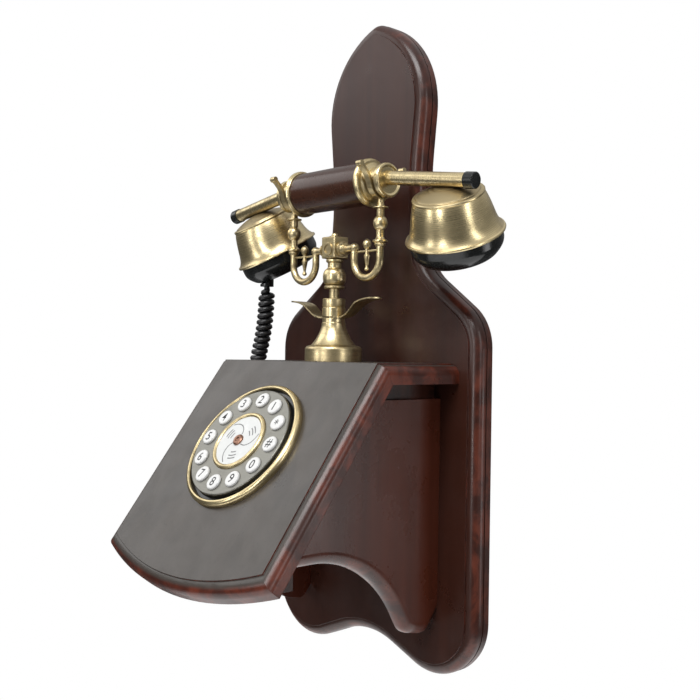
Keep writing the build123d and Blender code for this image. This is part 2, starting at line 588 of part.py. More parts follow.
with BuildPart() as cradle_spring:
    turns = Helix(pitch=(SPRING_HIGH - SPRING_LOW - 2 * SPRING_WIRE) / 5, height=SPRING_HIGH - SPRING_LOW
                  - 2 * SPRING_WIRE, radius=SPRING_R, center=(0, COLUMN_Y, SPRING_LOW + SPRING_WIRE))
    with BuildLine():
        add(turns)
    with BuildSketch(Plane(turns @ 0, z_dir=turns % 0)):
        Circle(SPRING_WIRE)
    sweep()
export(cradle_spring, "cradle_spring")

# The moving stem: plunger and spring seat inside, then ring, ball and neck above the collar.
with BuildPart() as cradle_stem:
    with BuildSketch(COLUMN):
        with BuildLine():
            Polyline(
                (0, BLOCK_LOW), (0, PLUNGER_LOW), (STEM_R, PLUNGER_LOW), (STEM_R, SPRING_HIGH),
                (SPRING_R + 0.9, SPRING_HIGH), (SPRING_R + 0.9, SPRING_HIGH + 1), (STEM_R, SPRING_HIGH + 1),
                (STEM_R, 59), (7.8, 59), (8.4, 59.6), (8.4, 60.8), (7.8, 61.4), (6.4, 61.8),
            )
            Spline((6.4, 61.8), (9.5, 68.4), (6.2, 75.4), tangents=[(1, 0.5), (-1, 0.6)])
            Line((6.2, 75.4), (5.6, 76.2))
            Polyline((5.6, 76.2), (5.6, 80), (7, 80.9), (7, 82.6), (6.2, BLOCK_LOW), (0, BLOCK_LOW))
        make_face()
    revolve(axis=COLUMN_AXIS)
export(cradle_stem, "cradle_stem")

with BuildPart() as cradle_block:
    with BuildSketch(Plane.XY.offset(BLOCK_LOW)):
        with Locations((0, COLUMN_Y)):
            Rectangle(BLOCK_W, BLOCK_W)
    extrude(amount=BLOCK_TOP - BLOCK_LOW)
    fillet(cradle_block.edges(), radius=1)
    with BuildSketch(COLUMN.offset(-BLOCK_W / 2 - 1)):
        with Locations((0, ARM_Z)):
            Circle(5.2)
            Circle(3.6, mode=Mode.SUBTRACT)
    extrude(amount=BLOCK_W + 2)
    with BuildSketch(COLUMN):
        with BuildLine():
            Polyline((0, 104.6), (0, BLOCK_TOP), (4.6, BLOCK_TOP), (4.6, 101.8), (3, 102.2))
            Spline((3, 102.2), (2.4, 103.9), (0, 104.6))
        make_face()
    revolve(axis=COLUMN_AXIS)
export(cradle_block, "cradle_block")


def cradle_arm(side):
    """One arm: a turned cross piece, a ball, a U of pipe and a turned upright under the fork."""
    u_radius = (ARM_X - ARM_IN_X) / 2
    u_level = U_LOW + u_radius
    upright_axis = Axis((side * ARM_X, COLUMN_Y, 0), (0, 0, 1))
    cross_axis = Axis((0, COLUMN_Y, ARM_Z), (1, 0, 0))
    with BuildPart() as arm:
        with BuildLine() as route:
            pipe_plane = Plane(origin=(0, COLUMN_Y, 0), x_dir=(side, 0, 0), z_dir=(0, -side, 0))
            inner, outer = (ARM_IN_X, u_level), (ARM_X, u_level)
            points = [pipe_plane.from_local_coords((x, z, 0)) for x, z in
                      ((ARM_IN_X, ARM_Z), inner, (ARM_IN_X + u_radius, U_LOW), outer, (ARM_X, 95))]
            Line(points[0], points[1])
            ThreePointArc(points[1], points[2], points[3])
            Line(points[3], points[4])
        with BuildSketch(Plane(points[0], z_dir=(0, 0, -1))):
            Circle(PIPE_R)
        sweep(path=route.wire())
        with BuildSketch(Plane(origin=(0, COLUMN_Y, 0), x_dir=(side, 0, 0), z_dir=(0, -side, 0))):
            with BuildLine():
                start = BLOCK_W / 2
                Polyline(
                    (ARM_IN_X, ARM_Z), (start, ARM_Z), (start, ARM_Z + 6.2), (start + 1.4, ARM_Z + 6.2),
                    (start + 2.2, ARM_Z + 4.2), (start + 4, ARM_Z + 3.4), (start + 4.8, ARM_Z + 4.9),
                    (start + 6, ARM_Z + 4.9), (start + 7, ARM_Z + 3), (ARM_IN_X - 2.6, ARM_Z + 2.9),
                )
                ThreePointArc(
                    (ARM_IN_X - 2.6, ARM_Z + 2.9), (ARM_IN_X, ARM_Z + 3.9), (ARM_IN_X + 3.9, ARM_Z)
                )
                Line((ARM_IN_X + 3.9, ARM_Z), (ARM_IN_X, ARM_Z))
            make_face()
        revolve(axis=cross_axis)
        with BuildSketch(Plane(origin=(side * ARM_X, COLUMN_Y, 0), x_dir=(1, 0, 0), z_dir=(0, -1, 0))):
            with BuildLine():
                Polyline(
                    (0, GRIP_Z - FORK_R), (0, 90), (3.6, 90), (4.4, 91.6), (4.1, 92.4), (5.7, 93.4),
                    (5.7, 94.8), (4, 95.6), (3.1, 97), (3.1, 102.6),
                )
                Spline((3.1, 102.6), (5.6, 108), (3.1, 113.4), tangents=[(1, 0.8), (-1, 0.8)])
                Polyline((3.1, 113.4), (3.1, 119.2), (6.2, 119.6), (6.2, 120.5), (3.2, 121), (2.6, 124),
                         (2.6, GRIP_Z - FORK_R), (0, GRIP_Z - FORK_R))
            make_face()
        revolve(axis=upright_axis)
    return arm


def arm_drop(side):
    """The turned ball and tapered drop in the middle of one U."""
    drop_x = side * (ARM_IN_X + ARM_X) / 2
    with BuildPart() as drop:
        with BuildSketch(Plane(origin=(drop_x, COLUMN_Y, 0), x_dir=(1, 0, 0), z_dir=(0, -1, 0))):
            with BuildLine():
                Polyline((0, 97.2), (0, 71.3))
                Spline((0, 71.3), (1.9, 73), (1.1, 74.6))
                Polyline((1.1, 74.6), (1.1, 76), (2.6, 83.6), (1.6, 85), (1.6, 89), (2.8, 90.2))
                Spline((2.8, 90.2), (3.3, 93.8), (0, 97.2))
            make_face()
        revolve(axis=Axis((drop_x, COLUMN_Y, 0), (0, 0, 1)))
    return drop


def arm_bar(side):
    """The thin bar across one U that carries the drop, in two lengths, one each side of it."""
    with BuildPart() as bar:
        with BuildSketch(Plane.YZ.offset(side * (ARM_IN_X + PIPE_R))):
            with Locations((COLUMN_Y, BAR_Z)):
                Circle(BAR_R)
        extrude(amount=side * (ARM_X - ARM_IN_X - 2 * PIPE_R))
        add(arm_drop(side), mode=Mode.SUBTRACT)
    return bar


def cradle_fork(side):
    """A strap bent to a cup with flared ends, which holds the handset's neck."""
    turn = radians(FORK_WRAP)
    with BuildPart() as fork:
        with BuildSketch(Plane(origin=(side * ARM_X - FORK_W / 2, COLUMN_Y, GRIP_Z), x_dir=(0, 1, 0),
                               z_dir=(1, 0, 0))):
            with BuildLine():
                ends = [(way * FORK_R * sin(turn), -FORK_R * cos(turn)) for way in (-1, 1)]
                ThreePointArc(ends[0], (0, -FORK_R), ends[1])
                for way, end in zip((-1, 1), ends):
                    Spline(end, (way * 16.2, 4.2), FORK_TIPS[way],
                           tangents=[(way * cos(turn), sin(turn)), (way * 0.75, 0.66)])
            trace(line_width=FORK_T)
            with Locations(*FORK_TIPS.values()):
                Circle(FORK_KNOB_R)
        extrude(amount=FORK_W)
    return fork


with BuildPart() as arm_pendants:
    for side in SIDES.values():
        add(arm_drop(side))
export(arm_pendants, "arm_pendants")

with BuildPart() as arm_bars:
    for side in SIDES.values():
        add(arm_bar(side))
export(arm_bars, "arm_bars")

for name, side in SIDES.items():
    fork = cradle_fork(side)
    with BuildPart() as cut_arm:
        add(cradle_arm(side))
        add(fork, mode=Mode.SUBTRACT)
    export(cut_arm, f"cradle_arm_{name}")
    export(fork, f"cradle_fork_{name}")

# ================================================================ handset
with BuildPart() as handset_grip:
    with BuildSketch(Plane.YZ.offset(-GRIP_HALF)):
        with Locations((COLUMN_Y, GRIP_Z)):
            Circle(GRIP_R)
    extrude(amount=2 * GRIP_HALF)
    fillet(handset_grip.edges(), radius=0.8)
    with Locations((0, COLUMN_Y, GRIP_Z)):
        Cylinder(WIRE_BORE_R, 2 * GRIP_HALF, rotation=(0, 90, 0), mode=Mode.SUBTRACT)
export(handset_grip, "handset_grip")


def handset_side(side):
    """The handset's own plane on one side: x outwards along the grip, y towards the mouths."""
    return Plane(HANDSET.origin, x_dir=(side, 0, 0), z_dir=HANDSET.z_dir * side)


def tube_plane(side):
    """Plane of one tube: x along the tube from inside the boss, y towards the mouth of its cup."""
    plane = handset_side(side)
    bend = radians(TUBE_BEND)
    along = plane.x_dir * cos(bend) + plane.y_dir * sin(bend)
    return Plane(plane.from_local_coords((TUBE_START, -TUBE_RISE, 0)), x_dir=along, z_dir=plane.z_dir)


def tube_solid(side, radius, start, end):
    """A round bar along one tube's axis."""
    plane = tube_plane(side)
    with BuildPart() as bar:
        with BuildSketch(Plane(plane.from_local_coords((start, 0, 0)), z_dir=plane.x_dir)):
            Circle(radius)
        extrude(amount=end - start)
    return bar.part


TUBE_LENGTH = (TUBE_END - TUBE_START) / cos(radians(TUBE_BEND))

with BuildPart() as handset_end_rings:
    for side in SIDES.values():
        with BuildSketch(handset_side(side)):
            with BuildLine():
                Polyline(
                    (GRIP_HALF, WIRE_BORE_R), (GRIP_HALF, RING_R - 1.6), (GRIP_HALF + 0.5, RING_R - 1.2),
                    (GRIP_HALF + 0.9, RING_R - 0.4), (GRIP_HALF + 1.6, RING_R), (RING_END - 1.8, RING_R),
                    (RING_END - 0.9, RING_R - 0.5), (RING_END - 0.5, RING_R - 1.4), (RING_END, RING_R - 2),
                    (RING_END, WIRE_BORE_R), close=True,
                )
            make_face()
        revolve(axis=HANDSET_AXIS)
export(handset_end_rings, "handset_end_rings")

with BuildPart() as handset_bosses:
    for side in SIDES.values():
        with BuildSketch(handset_side(side)):
            with BuildLine():
                Polyline(
                    (RING_END, WIRE_BORE_R), (RING_END, BOSS_R), (RING_END + 1.6, BOSS_R),
                    (RING_END + 3.8, NECK_R), (NECK_END, NECK_R), (NECK_END, DISC_R - 0.6),
                    (NECK_END + 0.6, DISC_R), (DISC_END - 1.2, DISC_R), (DISC_END - 0.4, DISC_R - 0.6),
                    (DISC_END, DISC_R - 1.8), (DISC_END - 1, DISC_R - 3.4), (DISC_END - 1, 0),
                    (TUBE_START, 0), (TUBE_START, WIRE_BORE_R), close=True,
                )
            make_face()
        revolve(axis=HANDSET_AXIS)
    for side in SIDES.values():
        add(tube_solid(side, TUBE_R, 0, 2 * TUBE_START), mode=Mode.SUBTRACT)
export(handset_bosses, "handset_bosses")

with BuildPart() as handset_tubes:
    for side in SIDES.values():
        add(tube_solid(side, TUBE_R, 0, TUBE_LENGTH))
    for side in SIDES.values():
        add(tube_solid(side, TUBE_BORE_R, 0, TUBE_LENGTH), mode=Mode.SUBTRACT)
export(handset_tubes, "handset_tubes")

with BuildPart() as tube_caps:
    for side in SIDES.values():
        with BuildSketch(tube_plane(side)):
            with BuildLine():
                Polyline(
                    (TUBE_LENGTH - TUBE_CAP_LEN, TUBE_R), (TUBE_LENGTH - TUBE_CAP_LEN, TUBE_CAP_R),
                    (TUBE_LENGTH + 0.7, TUBE_CAP_R), (TUBE_LENGTH + 1.3, TUBE_CAP_R - 0.6),
                    (TUBE_LENGTH + 1.3, 0), (TUBE_LENGTH, 0), (TUBE_LENGTH, TUBE_R), close=True,
                )
            make_face()
        revolve(axis=Axis(tube_plane(side).origin, tube_plane(side).x_dir))
export(tube_caps, "tube_caps")


def cup_plane(side):
    """Plane through one cup's axis: x from the axis outwards, y from the tube's axis to the mouth."""
    plane = tube_plane(side)
    along = (CUP_X[side] - TUBE_START) / cos(radians(TUBE_BEND))
    return Plane(plane.from_local_coords((along, 0, 0)), x_dir=plane.x_dir, z_dir=plane.z_dir)


def cup_shell(side):
    """The flared brass cup under a tube: dome, rim, flare and lip."""
    plane = cup_plane(side)
    with BuildPart() as shell:
        with BuildSketch(plane):
            with BuildLine():
                TangentArc((0, DOME_TOP), (24.2, 9.7), tangent=(1, 0))
                Polyline((24.2, 9.7), (24.6, CUP_TOP - 1), (CUP_TOP_R - 0.6, CUP_TOP - 0.8),
                         (CUP_TOP_R, CUP_TOP), (CUP_TOP_R, CUP_TOP + 0.9), (CUP_TOP_R - 0.5, CUP_TOP + 1.5))
                Spline((CUP_TOP_R - 0.5, CUP_TOP + 1.5), (29.6, 20.5), (31.7, 29), (33.8, 36.4), (36.7, 40.9))
                Polyline((36.7, 40.9), (CUP_RIM_R - 0.4, CUP_RIM - 1), (CUP_RIM_R, CUP_RIM),
                         (CUP_RIM_R - 0.3, CUP_RIM + 0.8), (CAP_TOP_R, CUP_RIM + 1),
                         (CAP_TOP_R, CUP_RIM - 1.2))
                Spline((CAP_TOP_R, CUP_RIM - 1.2), (32.5, 36.9), (30.4, 29.3), (28.3, 20.7),
                       (CUP_TOP_R - 1.8, CUP_TOP + 1.5))
                Line((CUP_TOP_R - 1.8, CUP_TOP + 1.5), (23.4, 11))
                TangentArc((0, DOME_TOP + SHELL_T), (23.4, 11), tangent=(1, 0))
                Line((0, DOME_TOP + SHELL_T), (0, DOME_TOP))
            make_face()
        revolve(axis=Axis(plane.origin, plane.y_dir))
        add(tube_solid(side, TUBE_R, 0, TUBE_LENGTH), mode=Mode.SUBTRACT)
    return shell


def cup_cap(side):
    """The black mouthpiece or earpiece that closes a cup, with its sound holes."""
    plane = cup_plane(side)
    end = CUP_RIM + CAP_DEPTH
    with BuildPart() as cap:
        with BuildSketch(plane):
            with BuildLine():
                Line((CAP_TOP_R, CUP_RIM - 0.4), (CAP_TOP_R, 49.6))
                Spline((CAP_TOP_R, 49.6), (31.6, 57.4), (CAP_LOW_R, end), tangents=[(-0.1, 1), (-1, 0)])
                Polyline((CAP_LOW_R, end), (0, end), (0, end - CAP_WALL), (CAP_LOW_R - 0.6, end - CAP_WALL))
                Spline((CAP_LOW_R - 0.6, end - CAP_WALL), (30, 56), (CAP_TOP_R - CAP_WALL, 49.6),
                       tangents=[(1, 0), (0.1, -1)])
                Polyline((CAP_TOP_R - CAP_WALL, 49.6), (CAP_TOP_R - CAP_WALL, CUP_RIM - 0.4),
                         (CAP_TOP_R, CUP_RIM - 0.4))
            make_face()
        revolve(axis=Axis(plane.origin, plane.y_dir))
        with BuildSketch(Plane(plane.from_local_coords((0, end, 0)), x_dir=plane.x_dir, z_dir=plane.y_dir)):
            Circle(SOUND_HOLE_R)
            with PolarLocations(6, 6):
                Circle(SOUND_HOLE_R)
            with PolarLocations(12, 12):
                Circle(SOUND_HOLE_R)
        extrude(amount=-CAP_WALL, mode=Mode.SUBTRACT)
    return cap


def capsule(side):
    """A sealed round unit that lies on the floor of the cap, with a shallow step on its back."""
    plane = cup_plane(side)
    low = CUP_RIM + CAP_DEPTH - CAP_WALL
    face = Plane(plane.from_local_coords((0, low, 0)), x_dir=plane.x_dir, z_dir=-plane.y_dir)
    with BuildPart() as unit:
        with BuildSketch(face):
            Circle(CAPSULE_R)
        extrude(amount=CAPSULE_T - 3)
        with BuildSketch(face.offset(CAPSULE_T - 3)):
            Circle(CAPSULE_R - 6)
        extrude(amount=3)
    return unit


for name, side in {"receiver": SIDES["right"], "transmitter": SIDES["left"]}.items():
    export(cup_shell(side), f"{name}_cup")
    export(cup_cap(side), f"{name}_cap")
    export(capsule(side), f"{name}_capsule")

# Gland under the transmitter's cap, pointing straight down.
with BuildPart() as cord_gland:
    plane = cup_plane(SIDES["left"])
    with BuildSketch(Plane.XY.offset(GLAND_LOW)):
        with Locations((GLAND_X, GLAND_Y)):
            Circle(GLAND_R)
    extrude(amount=GLAND_LEN)
    split(
        bisect_by=Plane(plane.from_local_coords((0, CUP_RIM + CAP_DEPTH, 0)), z_dir=plane.y_dir),
        keep=Keep.TOP,
    )
export(cord_gland, "cord_gland")

# ================================================================ curly cord
CORD_ROUTE = [
    (GLAND_X, GLAND_Y, GLAND_LOW), (GLAND_X, GLAND_Y, 34), (-114, -50, -10), (-115, -42, -50),
    (-114, -34, -92), (-112.5, -31, -132.7), (-106.2, -56.2, -158.7), (-97.3, -91.8, -158.7),
    (JACK_X, JACK_Y, -132.7), (JACK_X, JACK_Y, PLUG_LOW),
]


def corner_radii(points):
    """The largest arc each corner's two runs allow: 0.45 of the shorter, over the half turn's tangent."""
    radii = []
    for before, corner, after in zip(points, points[1:], points[2:]):
        first, second = Vector(corner) - Vector(before), Vector(after) - Vector(corner)
        radii.append(0.45 * min(first.length, second.length) / tan(radians(first.get_angle(second)) / 2))
    return radii


CORD_RADII = corner_radii(CORD_ROUTE)
with BuildPart() as curly_cord:
    with BuildLine() as path:
        FilletPolyline(*CORD_ROUTE, radius=CORD_RADII)
    with BuildSketch(Plane(path.line @ 0, z_dir=path.line % 0)):
        Circle(CORD_R)
    sweep()
export(curly_cord, "curly_cord")
print("cord corner radii:", [round(radius, 1) for radius in CORD_RADII])
path_length = sum(edge.length for edge in path.edges())
print("cord path length:", round(path_length, 1), "volume over section times length:",
      round(curly_cord.part.volume / (pi * CORD_R**2 * path_length), 4))
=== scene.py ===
import bpy
from math import cos, radians, sin, tau
from mathutils import Matrix, Vector


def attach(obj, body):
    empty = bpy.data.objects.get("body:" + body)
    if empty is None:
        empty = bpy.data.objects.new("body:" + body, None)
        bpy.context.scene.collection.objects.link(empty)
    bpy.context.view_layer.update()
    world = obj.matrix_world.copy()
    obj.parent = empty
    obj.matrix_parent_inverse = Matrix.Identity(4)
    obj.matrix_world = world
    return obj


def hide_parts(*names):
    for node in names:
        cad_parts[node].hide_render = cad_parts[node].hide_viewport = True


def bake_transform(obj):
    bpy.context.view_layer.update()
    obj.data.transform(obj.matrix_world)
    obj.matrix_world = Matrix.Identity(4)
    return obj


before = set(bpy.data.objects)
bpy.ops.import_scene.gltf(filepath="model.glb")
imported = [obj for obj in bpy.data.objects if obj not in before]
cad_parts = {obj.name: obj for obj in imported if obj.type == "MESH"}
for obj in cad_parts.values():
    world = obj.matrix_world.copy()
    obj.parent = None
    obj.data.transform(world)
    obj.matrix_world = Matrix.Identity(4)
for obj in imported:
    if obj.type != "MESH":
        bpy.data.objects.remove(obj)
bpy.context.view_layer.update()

# ---------------------------------------------------------------- places, in metres
SLOPE = radians(37)
DIAL_OUT = Vector((0, -cos(SLOPE), sin(SLOPE)))
DIAL_UP = Vector((0, sin(SLOPE), cos(SLOPE)))
SHELF_FRONT, DIAL_DOWN = -0.0998, 0.07975
DIAL_MID = Vector((0, SHELF_FRONT, 0)) - DIAL_UP * DIAL_DOWN
KEY_CIRCLE = 0.0366
KEY_TOP = 0.0084
CARD_TOP = 0.0074
COLUMN_Y = -0.059
GRIP_MID = Vector((0, COLUMN_Y, 0.1404))
ROLL = radians(28)
MOUTH = Vector((0, sin(ROLL), -cos(ROLL)))
TUBE_BEND = radians(8.8)
TUBE_X, TUBE_RISE = 0.05, 0.0034
CUP_X = {-1: 0.108, 1: 0.1143}


def tube_line(side):
    """Start and direction of one handset tube."""
    along = Vector((side * cos(TUBE_BEND), 0, 0)) + MOUTH * sin(TUBE_BEND)
    return GRIP_MID + Vector((side * TUBE_X, 0, 0)) - MOUTH * TUBE_RISE, along


def cup_line(side):
    """Centre of one cup on its tube's axis, and the direction towards its mouth."""
    start, along = tube_line(side)
    mouth = MOUTH * cos(TUBE_BEND) - Vector((side * sin(TUBE_BEND), 0, 0))
    return start + along * ((CUP_X[side] - TUBE_X) / cos(TUBE_BEND)), mouth


# ---------------------------------------------------------------- camera
CAMERA_TURN, CAMERA_PITCH, CAMERA_ROLL = radians(46.23), radians(-0.31), radians(0.89)
CAMERA_BACK, CAMERA_LEFT, CAMERA_RISE = 0.81302, 0.02891, 0.01016
SENSOR_WIDTH, LENS = 36, 48.79903
NEAREST, FARTHEST = 0.02, 60


def add_camera():
    """A camera at the photograph's place, in front and to the right of the telephone, at eye level."""
    turn, pitch, roll = CAMERA_TURN, CAMERA_PITCH, CAMERA_ROLL
    ahead = Vector((-sin(turn) * cos(pitch), cos(turn) * cos(pitch), -sin(pitch)))
    flat_right = Vector((cos(turn), sin(turn), 0))
    flat_up = flat_right.cross(ahead)
    right = flat_right * cos(roll) + flat_up * sin(roll)
    up = flat_up * cos(roll) - flat_right * sin(roll)
    place = -ahead * CAMERA_BACK - right * CAMERA_LEFT + up * CAMERA_RISE
    data = bpy.data.cameras.new("camera")
    data.sensor_width, data.lens = SENSOR_WIDTH, LENS
    data.clip_start, data.clip_end = NEAREST, FARTHEST
    camera = bpy.data.objects.new("camera", data)
    bpy.context.scene.collection.objects.link(camera)
    turn_matrix = Matrix((right, up, -ahead)).transposed().to_4x4()
    camera.matrix_world = Matrix.Translation(place) @ turn_matrix
    bpy.context.scene.camera = camera


add_camera()


# ---------------------------------------------------------------- material building
class Graph:
    """One material's node tree, with short calls for the nodes that the finishes use."""

    def __init__(self, name):
        self.material = bpy.data.materials.new(name)
        self.material.use_nodes = True
        self.tree = self.material.node_tree
        self.tree.nodes.clear()
        output = self.node("OutputMaterial")
        self.shader = self.node("BsdfPrincipled")
        self.tree.links.new(self.shader.outputs[0], output.inputs[0])
        coords = self.node("TexCoord")
        self.place, self.normal = coords.outputs["Object"], coords.outputs["Normal"]

    def node(self, kind, **settings):
        """A new shader node of this kind, with these settings."""
        node = self.tree.nodes.new("ShaderNode" + kind)
        for key, value in settings.items():
            setattr(node, key, value)
        return node

    def put(self, socket, value):
        """Link a socket to another node's output, or set its own number or colour."""
        if isinstance(value, bpy.types.NodeSocket):
            self.tree.links.new(value, socket)
        else:
            socket.default_value = value

    def set(self, **inputs):
        """Set the shader's own inputs by name, with _ for a space."""
        for key, value in inputs.items():
            if isinstance(value, tuple) and len(value) == 3:
                value = (*value, 1)
            self.put(self.shader.inputs[key.replace("_", " ")], value)

    def math(self, operation, a, b=0.0):
        """One number from two."""
        node = self.node("Math", operation=operation)
        self.put(node.inputs[0], a)
        self.put(node.inputs[1], b)
        return node.outputs[0]

    def vector(self, operation, a, b):
        """One vector from two, or their dot product."""
        node = self.node("VectorMath", operation=operation)
        self.put(node.inputs[0], a)
        self.put(node.inputs[1], b)
        return node.outputs["Value" if operation == "DOT_PRODUCT" else "Vector"]

    def noise(self, vector, scale, detail=4.0, rough=0.55, distortion=0.0):
        """Soft noise in space, from 0 to 1."""
        node = self.node("TexNoise")
        self.put(node.inputs["Vector"], vector)
        node.inputs["Scale"].default_value = scale
        node.inputs["Detail"].default_value = detail
        node.inputs["Roughness"].default_value = rough
        node.inputs["Distortion"].default_value = distortion
        return node.outputs["Fac"]

    def noise_line(self, value, scale, detail=3.0):
        """Noise along one number, for rings round an axis."""
        node = self.node("TexNoise", noise_dimensions="1D")
        self.put(node.inputs["W"], value)
        node.inputs["Scale"].default_value = scale
        node.inputs["Detail"].default_value = detail
        return node.outputs["Fac"]

    def range(self, value, low, high, out_low=0.0, out_high=1.0):
        """A smooth step from out_low to out_high while value goes from low to high."""
        node = self.node("MapRange", interpolation_type="SMOOTHSTEP")
        for socket, number in zip(node.inputs, (value, low, high, out_low, out_high)):
            self.put(socket, number)
        return node.outputs[0]

    def mix(self, factor, a, b):
        """Colour a where factor is 0, and colour b where it is 1."""
        node = self.node("Mix", data_type="RGBA")
        sockets = [s for s in node.inputs if s.type == "RGBA"]
        self.put(node.inputs[0], factor)
        for socket, colour in zip(sockets, (a, b)):
            self.put(socket, (*colour, 1) if isinstance(colour, tuple) and len(colour) == 3 else colour)
        return next(s for s in node.outputs if s.type == "RGBA")

    def bump(self, height, distance, strength=1.0, normal=None):
        """A normal raised by height, over another normal if there is one."""
        node = self.node("Bump")
        node.inputs["Strength"].default_value = strength
        node.inputs["Distance"].default_value = distance
        self.put(node.inputs["Height"], height)
        if normal is not None:
            self.put(node.inputs["Normal"], normal)
        return node.outputs[0]

    def rounded(self, radius):
        """A normal that rounds sharp edges over."""
        node = self.node("Bevel", samples=6)
        node.inputs["Radius"].default_value = radius
        return node.outputs[0]

    def crevice(self, distance):
        """Near 1 in the open and near 0 in a hollow."""
        node = self.node("AmbientOcclusion", samples=8)
        node.inputs["Distance"].default_value = distance
        return node.outputs["AO"]


def shade(tone, factor):
    """The same colour, lighter or darker."""
    return tuple(factor * c for c in tone)


FIBRE_ACROSS, FIBRE_ALONG = 46.0, 2.6
PORE_ACROSS, PORE_ALONG = 700.0, 22.0


def grain(g, along, across_scale, along_scale):
    """The place in the wood, drawn out along one of X, Y and Z."""
    scales = [across_scale] * 3
    scales["XYZ".index(along)] = along_scale
    return g.vector("MULTIPLY", g.place, tuple(scales))


def wood(name, along, face, flat_tone, edge_tone, rough=0.33, edge_mix=1.0):
    """Dark stained wood under satin lacquer: grain along one direction, redder on edges than on its face."""
    g = Graph(name)
    cloud = g.noise(g.place, 7.0, 3, 0.5)
    fibre = g.noise(grain(g, along, FIBRE_ACROSS, FIBRE_ALONG), 1.0, 6, 0.62, 0.6)
    pores = g.noise(grain(g, along, PORE_ACROSS, PORE_ALONG), 1.0, 2, 0.5)
    facing = g.math("ABSOLUTE", g.vector("DOT_PRODUCT", g.normal, face))
    edge = g.math("MULTIPLY", g.range(facing, 0.99, 0.8), edge_mix)
    warm = g.range(g.noise(g.place, 34.0, 6, 0.68, 0.5), 0.40, 0.66)
    edge_colour = g.mix(warm, shade(edge_tone, 0.28), edge_tone)
    flat_colour = g.mix(g.range(fibre, 0.3, 0.75), shade(flat_tone, 0.62), flat_tone)
    flat_colour = g.mix(g.range(cloud, 0.35, 0.75, 0.0, 0.45), flat_colour, shade(flat_tone, 1.25))
    colour = g.mix(edge, flat_colour, edge_colour)
    colour = g.mix(g.range(pores, 0.62, 0.8, 0.0, 0.55), colour, shade(flat_tone, 0.3))
    normal = g.bump(fibre, 0.00012, 0.35, g.rounded(0.0006))
    normal = g.bump(pores, 0.00005, 0.25, normal)
    roughness = g.range(g.noise(g.place, 30.0, 5, 0.6), 0.3, 0.75, rough - 0.06, rough + 0.08)
    g.set(Base_Color=colour, Roughness=roughness, Normal=normal, IOR=1.45, Coat_Weight=0.15,
          Coat_Roughness=0.2)
    return g.material


LATHE_RINGS, SOFT_BANDS = 2600.0, 170.0
HOLLOW_REACH = 0.007


def brass(name, origin, axis, bright, dark, rough=0.3, wear=0.5, painted_reflection=None):
    """Antique brass, brushed round its turning axis, with dark patina in its hollows, and darkened as a
    painted dark reflection over the band of heights that its last argument gives.
    """
    g = Graph(name)
    height = g.vector("DOT_PRODUCT", g.vector("SUBTRACT", g.place, tuple(origin)), tuple(axis))
    lathe = g.noise_line(height, LATHE_RINGS, 4)
    bands = g.noise_line(height, SOFT_BANDS, 3)
    blotch = g.noise(g.place, 60.0, 5, 0.62, 0.4)
    cover = g.math("ADD", g.math("MULTIPLY", blotch, 0.65), g.math("MULTIPLY", bands, 0.35))
    patina = g.range(cover, wear - 0.12, wear + 0.2, 0.0, 0.75)
    hollow = g.range(g.crevice(HOLLOW_REACH), 0.75, 0.3, 0.0, 0.85)
    cover = g.math("MAXIMUM", patina, hollow)
    # painted dark reflection: the brass is darkened over this band of heights along the axis
    if painted_reflection:
        cover = g.math("MAXIMUM", cover, g.range(height, *painted_reflection))
    colour = g.mix(cover, bright, dark)
    colour = g.mix(g.range(lathe, 0.35, 0.7, 0.0, 0.14), colour, shade(bright, 0.6))
    brushed = g.range(lathe, 0.3, 0.7, rough - 0.06, rough + 0.06)
    roughness = g.math("ADD", g.math("MULTIPLY", cover, 0.2), brushed)
    normal = g.bump(lathe, 0.00002, 0.3, g.rounded(0.0004))
    g.set(Base_Color=colour, Metallic=1.0, Roughness=roughness, Normal=normal)
    return g.material


RIPPLE = 0.00001


def moulded(name, tone, rough, coat):
    """Moulded plastic with a faint ripple, and dust and handling marks in its gloss."""
    g = Graph(name)
    marks = g.noise(g.place, 90.0, 6, 0.65)
    smears = g.noise(g.vector("MULTIPLY", g.place, (40.0, 160.0, 90.0)), 1.0, 4, 0.6)
    dusty = tuple(min(1.0, 1.35 * c + 0.004) for c in tone)
    colour = g.mix(g.range(marks, 0.5, 0.8, 0.0, 0.5), tone, dusty)
    roughness = g.range(smears, 0.3, 0.75, rough - 0.05, rough + 0.1)
    normal = g.bump(g.noise(g.place, 900.0, 2, 0.5), RIPPLE, 0.4, g.rounded(0.0003))
    g.set(Base_Color=colour, Roughness=roughness, Normal=normal, IOR=1.5, Coat_Weight=coat,
          Coat_Roughness=0.08)
    return g.material


def metal(name, tone, rough):
    """Plain plated sheet or wire, with fine scratches."""
    g = Graph(name)
    scratches = g.noise(g.vector("MULTIPLY", g.place, (900.0, 900.0, 60.0)), 1.0, 4, 0.6)
    colour = g.mix(g.noise(g.place, 80.0, 4, 0.6), tone, shade(tone, 0.72))
    roughness = g.range(scratches, 0.3, 0.7, rough - 0.08, rough + 0.12)
    g.set(Base_Color=colour, Metallic=1.0, Roughness=roughness, Normal=g.bump(scratches, 0.00002, 0.3))
    return g.material


def printed_board(name):
    """Green circuit board with paler tracks."""
    g = Graph(name)
    cells = g.node("TexVoronoi", feature="DISTANCE_TO_EDGE")
    g.put(cells.inputs["Vector"], g.place)
    cells.inputs["Scale"].default_value = 160.0
    track = g.range(cells.outputs["Distance"], 0.03, 0.06, 1.0, 0.0)
    colour = g.mix(track, (0.015, 0.1, 0.04), (0.05, 0.22, 0.09))
    roughness = g.range(track, 0.0, 1.0, 0.45, 0.3)
    g.set(Base_Color=colour, Roughness=roughness, Normal=g.bump(track, 0.00004, 0.5))
    return g.material


